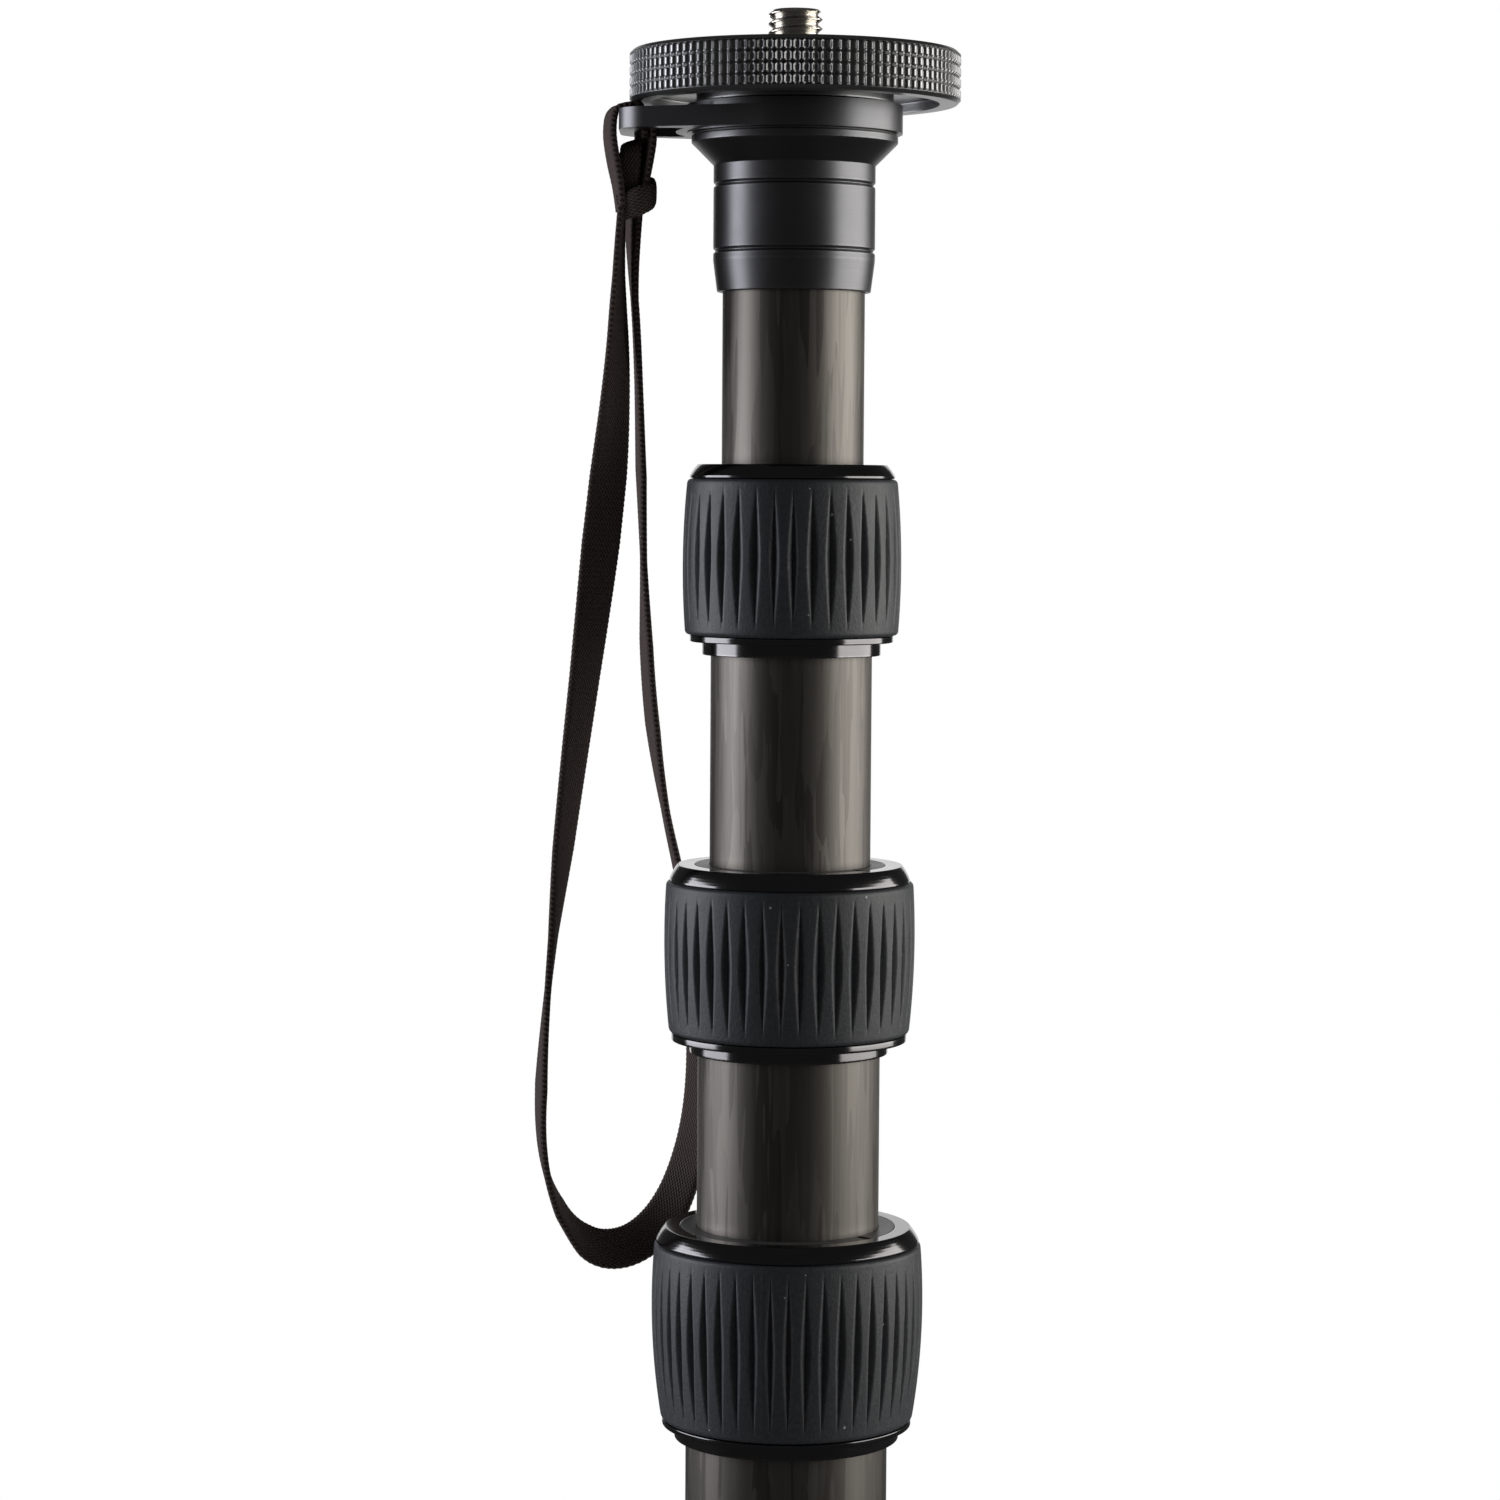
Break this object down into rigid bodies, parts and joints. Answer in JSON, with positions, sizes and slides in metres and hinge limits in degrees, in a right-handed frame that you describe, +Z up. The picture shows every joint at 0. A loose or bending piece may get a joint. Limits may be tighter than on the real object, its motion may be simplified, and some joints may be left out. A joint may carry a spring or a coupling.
{
  "type": "camera monopod",
  "caption": "Telescopic carbon-fibre camera monopod with twist locks, grooved rubber grips, a knurled camera plate with a stud, and a webbing wrist strap on a swivel ring.",
  "frame": {"origin": "centre of the rubber foot's underside", "axes": "+Z up along the tubes to the stud; the strap ring's lug points to -X; the picture looks along +Y"},
  "size_m": [0.0758, 0.0599, 0.6525],
  "materials": {
    "carbon_tube": "satin clear coat over carbon fibre with soft streaks",
    "anodised_black": "satin black anodised",
    "polished_black": "semi-gloss black anodised",
    "grip_rubber": "matt, fine grain",
    "collet_plastic": "semi-gloss moulded plastic",
    "guide_plastic": "matt moulded plastic",
    "stainless": "bright turned stainless steel",
    "webbing": "woven webbing with fine cross ribs",
    "foot_rubber": "matt"
  },
  "bodies": {
    "section_4": {"tube_4": "carbon_tube", "ferrule_3": "polished_black", "foot_plug": "anodised_black", "foot_bolt": "stainless", "rubber_foot": "foot_rubber"},
    "section_3": {"tube_3": "carbon_tube", "guide_3_front": "guide_plastic", "guide_3_back": "guide_plastic", "ferrule_2": "polished_black"},
    "section_2": {"tube_2": "carbon_tube", "guide_2_front": "guide_plastic", "guide_2_back": "guide_plastic", "ferrule_1": "polished_black"},
    "section_1": {"tube_1": "carbon_tube", "guide_1_front": "guide_plastic", "guide_1_back": "guide_plastic", "neck": "anodised_black", "swivel_washer": "guide_plastic", "camera_plate": "anodised_black", "camera_stud": "stainless"},
    "strap": {"strap_ring": "anodised_black", "strap_bight": "webbing", "strap_hitch": "webbing", "strap_loop": "webbing"},
    "lock_3_collet": {"collet_3": "collet_plastic"},
    "lock_3_collar": {"lock_nut_3": "polished_black", "lock_grip_3": "grip_rubber"},
    "lock_2_collet": {"collet_2": "collet_plastic"},
    "lock_2_collar": {"lock_nut_2": "polished_black", "lock_grip_2": "grip_rubber"},
    "lock_1_collet": {"collet_1": "collet_plastic"},
    "lock_1_collar": {"lock_nut_1": "polished_black", "lock_grip_1": "grip_rubber"}
  },
  "joints": [
    {"name": "section_3_slide", "type": "slide", "parent": "section_4", "child": "section_3", "axis": [0, 0, 1], "range_m": [-0.028, 0.297]},
    {"name": "lock_3_feed", "type": "slide", "parent": "section_4", "child": "lock_3_collet", "axis": [0, 0, 1], "range_m": [0, 0.001]},
    {"name": "lock_3_twist", "type": "hinge", "parent": "lock_3_collet", "child": "lock_3_collar", "pos_m": [0, 0, 0.423], "axis": [0, 0, 1], "range_deg": [0, 180]},
    {"name": "section_2_slide", "type": "slide", "parent": "section_3", "child": "section_2", "axis": [0, 0, 1], "range_m": [-0.0346, 0.293]},
    {"name": "lock_2_feed", "type": "slide", "parent": "section_3", "child": "lock_2_collet", "axis": [0, 0, 1], "range_m": [0, 0.001]},
    {"name": "lock_2_twist", "type": "hinge", "parent": "lock_2_collet", "child": "lock_2_collar", "pos_m": [0, 0, 0.4876], "axis": [0, 0, 1], "range_deg": [0, 180]},
    {"name": "section_1_slide", "type": "slide", "parent": "section_2", "child": "section_1", "axis": [0, 0, 1], "range_m": [-0.028, 0.3]},
    {"name": "lock_1_feed", "type": "slide", "parent": "section_2", "child": "lock_1_collet", "axis": [0, 0, 1], "range_m": [0, 0.001]},
    {"name": "lock_1_twist", "type": "hinge", "parent": "lock_1_collet", "child": "lock_1_collar", "pos_m": [0, 0, 0.55825], "axis": [0, 0, 1], "range_deg": [0, 180]},
    {"name": "strap_swivel", "type": "hinge", "parent": "section_1", "child": "strap", "pos_m": [0, 0, 0.63345], "axis": [0, 0, 1], "continuous": true}
  ],
  "couplings": [
    {"joint": "lock_3_twist", "follows": "lock_3_feed", "rad_per_m": 3141.6},
    {"joint": "lock_2_twist", "follows": "lock_2_feed", "rad_per_m": 3141.6},
    {"joint": "lock_1_twist", "follows": "lock_1_feed", "rad_per_m": 3141.6}
  ]
}
